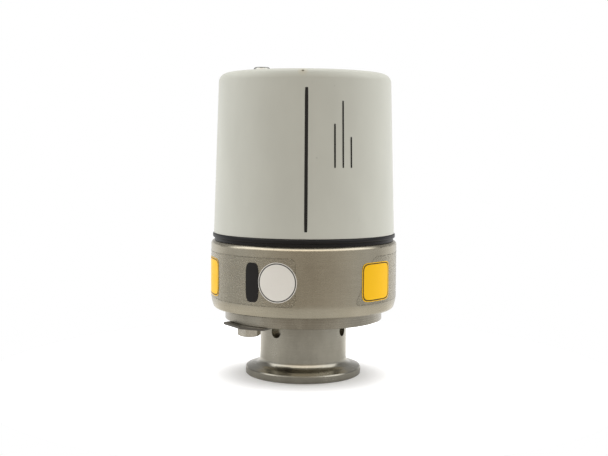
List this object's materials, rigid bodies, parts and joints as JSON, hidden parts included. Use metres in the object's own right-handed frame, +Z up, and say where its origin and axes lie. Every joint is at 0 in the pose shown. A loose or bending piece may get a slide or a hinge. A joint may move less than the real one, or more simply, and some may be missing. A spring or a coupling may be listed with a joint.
{
  "type": "cold cathode vacuum gauge",
  "caption": "Vacuum gauge with a clamp flange, a turned neck, a round steel magnet housing and a tapered plastic cap over its electronics.",
  "frame": {"origin": "centre of the flange's sealing face, at the bottom of the gauge", "axes": "+Z up the gauge's axis to the cable connector, front of the picture towards -Y, +X to its right"},
  "size_m": [0.064, 0.064, 0.1044],
  "materials": {
    "stainless_turned": "satin turned",
    "stainless_drawn": "fine brushed",
    "zinc_steel": "plated",
    "black_steel": "black oxide",
    "soft_iron": "dull nickel",
    "titanium": "matt",
    "molybdenum": "drawn",
    "glass": "clear",
    "ferrite": "matt",
    "aluminium": "turned",
    "black_rubber": "matt",
    "light_grey_plastic": "fine moulded",
    "white_plastic": "moulded",
    "dark_grey_plastic": "moulded",
    "board_green": "varnished",
    "blue_plastic": "gloss",
    "brass": "bright",
    "tinned_brass": "tinned",
    "coil_tape": "wound"
  },
  "bodies": {
    "root": {"measuring_chamber": "stainless_turned", "feedthrough_flange": "stainless_turned", "support_ring": "stainless_turned", "pressure_piece": "stainless_turned", "base_disc": "stainless_turned", "magnet_housing": "stainless_drawn", "retaining_plate": "stainless_drawn", "hex_head_screw": "zinc_steel", "lock_washers": "zinc_steel", "cap_screws": "zinc_steel", "board_screws": "zinc_steel", "connector_screws": "zinc_steel", "snap_ring": "zinc_steel", "contact_spring": "zinc_steel", "clamp_screws": "black_steel", "set_screw": "black_steel", "pole_insert": "soft_iron", "lower_pole_shoe": "soft_iron", "upper_pole_shoe": "soft_iron", "cathode_liner": "titanium", "anode_pin": "molybdenum", "ignition_aid": "molybdenum", "feedthrough_glass": "glass", "lower_ring_magnet": "ferrite", "upper_ring_magnet": "ferrite", "transformer_core": "ferrite", "electronics_base": "aluminium", "centring_sleeve": "aluminium", "housing_seal": "black_rubber", "chamber_seal": "black_rubber", "connector_gasket": "black_rubber", "cap": "light_grey_plastic", "hv_insulator": "white_plastic", "connector_body": "dark_grey_plastic", "board_header": "dark_grey_plastic", "hv_module": "dark_grey_plastic", "signal_chips": "dark_grey_plastic", "capacitors": "dark_grey_plastic", "hv_board": "board_green", "signal_board": "board_green", "trimmers": "blue_plastic", "lower_standoffs": "brass", "upper_standoffs": "brass", "hv_contact": "brass", "connector_insert": "brass", "connector_contacts": "tinned_brass", "transformer_coil": "coil_tape"}
  },
  "joints": []
}
